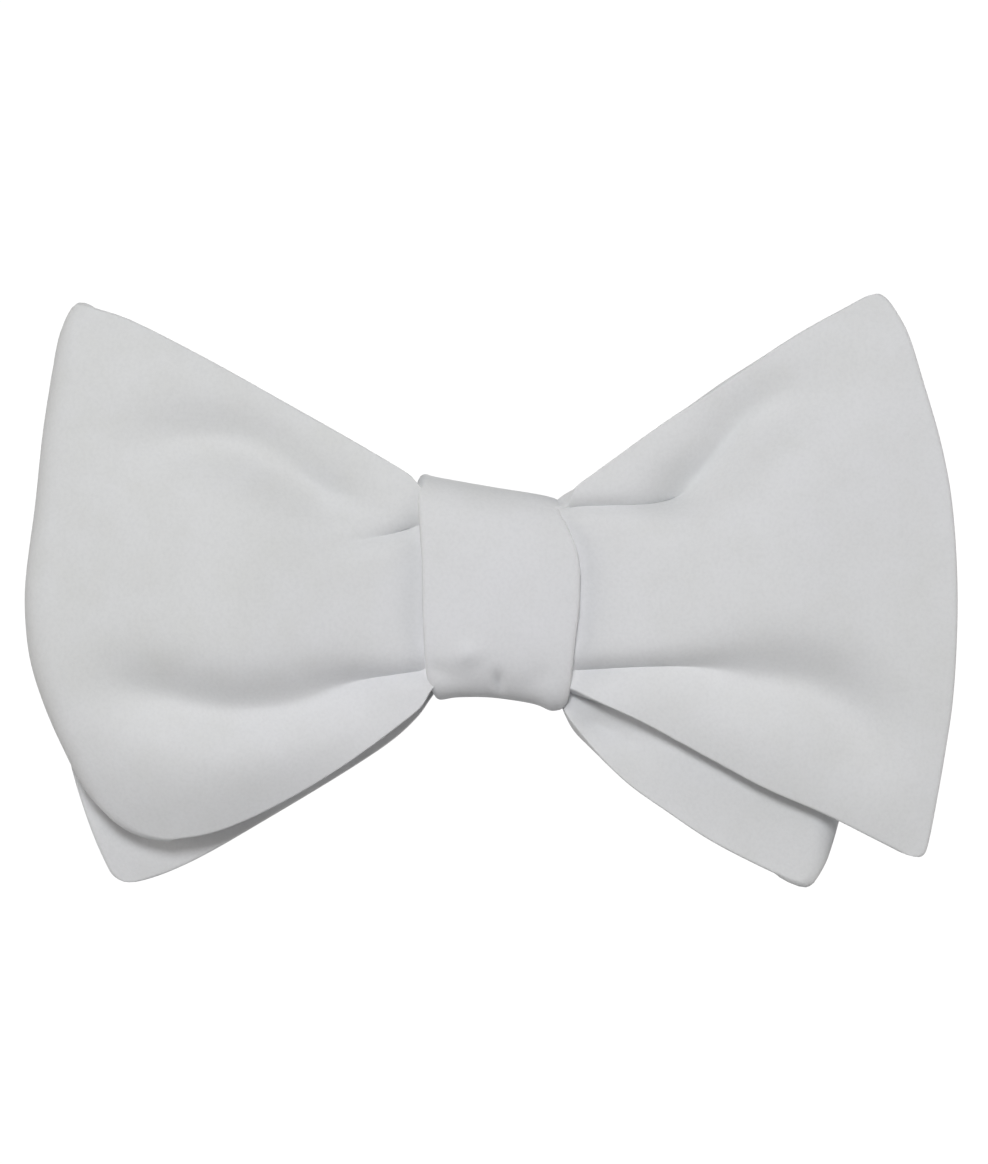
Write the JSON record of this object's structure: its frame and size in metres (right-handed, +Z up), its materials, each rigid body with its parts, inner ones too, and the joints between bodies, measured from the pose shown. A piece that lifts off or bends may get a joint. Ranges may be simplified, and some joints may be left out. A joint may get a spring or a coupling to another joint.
{
  "type": "bow tie",
  "caption": "Tied self-tie bow tie in white velvet: folded loops and square-ended blades, wrapped knot, and a lined neckband with slide adjuster, hook and eye.",
  "frame": {"origin": "middle of the flat back of the knot, where it seats on the collar", "axes": "+Z up, +Y from the bow towards the wearer's neck, +X to the right of someone facing the bow (the wearer's left)"},
  "size_m": [0.1195, 0.1503, 0.075],
  "materials": {
    "velvet": "short white cut pile",
    "canvas": "woven cotton interlining",
    "lining": "white satin",
    "strap_satin": "white satin, doubled and stitched",
    "thread": "white sewing thread",
    "nickel": "polished nickel plate"
  },
  "bodies": {
    "knot_and_band": {"knot_wrap": "velvet", "front_bow_waist": "velvet", "rear_bow_waist": "velvet", "band_velvet_left": "velvet", "band_velvet_right": "velvet", "knot_wrap_interlining": "canvas", "band_interlining_left": "canvas", "band_interlining_right": "canvas", "band_lining_left": "lining", "band_lining_right": "lining", "adjuster_strap": "strap_satin", "strap_bartack": "thread"},
    "left_wing": {"front_loop_outer_cloth": "velvet", "front_loop_inner_cloth": "velvet", "front_loop_interlining": "canvas", "rear_blade_face_cloth": "velvet", "rear_blade_interlining": "canvas", "rear_blade_back_cloth": "velvet"},
    "right_wing": {"front_blade_face_cloth": "velvet", "front_blade_interlining": "canvas", "front_blade_back_cloth": "velvet", "rear_loop_outer_cloth": "velvet", "rear_loop_interlining": "canvas", "rear_loop_inner_cloth": "velvet"},
    "band_end": {"band_velvet_end": "velvet", "band_interlining_end": "canvas", "band_lining_end": "lining", "eye_tab": "strap_satin", "eye_tab_bartack": "thread"},
    "slide": {"adjuster_slide": "nickel"},
    "hook_plate": {"hook": "nickel"},
    "eye": {"eye_ring": "nickel"}
  },
  "joints": [
    {"name": "left_wing_sweep", "type": "hinge", "parent": "knot_and_band", "child": "left_wing", "pos_m": [-0.0095, -0.00925, 0], "axis": [0, 0, 1], "range_deg": [-3, 12]},
    {"name": "right_wing_sweep", "type": "hinge", "parent": "knot_and_band", "child": "right_wing", "pos_m": [0.0095, -0.00925, 0], "axis": [0, 0, -1], "range_deg": [-3, 12]},
    {"name": "band_opening", "type": "hinge", "parent": "knot_and_band", "child": "band_end", "pos_m": [0.03998, 0.11506, 0], "axis": [0, 0, -1], "range_deg": [0, 60]},
    {"name": "eye_swing", "type": "hinge", "parent": "band_end", "child": "eye", "pos_m": [0.01012, 0.12806, 0], "axis": [0, 0, -1], "range_deg": [0, 50]},
    {"name": "hook_swing", "type": "hinge", "parent": "knot_and_band", "child": "hook_plate", "pos_m": [-0.01703, 0.12639, 0], "axis": [0, 0, -1], "range_deg": [0, 45]},
    {"name": "slide_adjust", "type": "hinge", "parent": "knot_and_band", "child": "slide", "pos_m": [0, 0.071, 0], "axis": [0, 0, 1], "range_deg": [0, 21]}
  ]
}
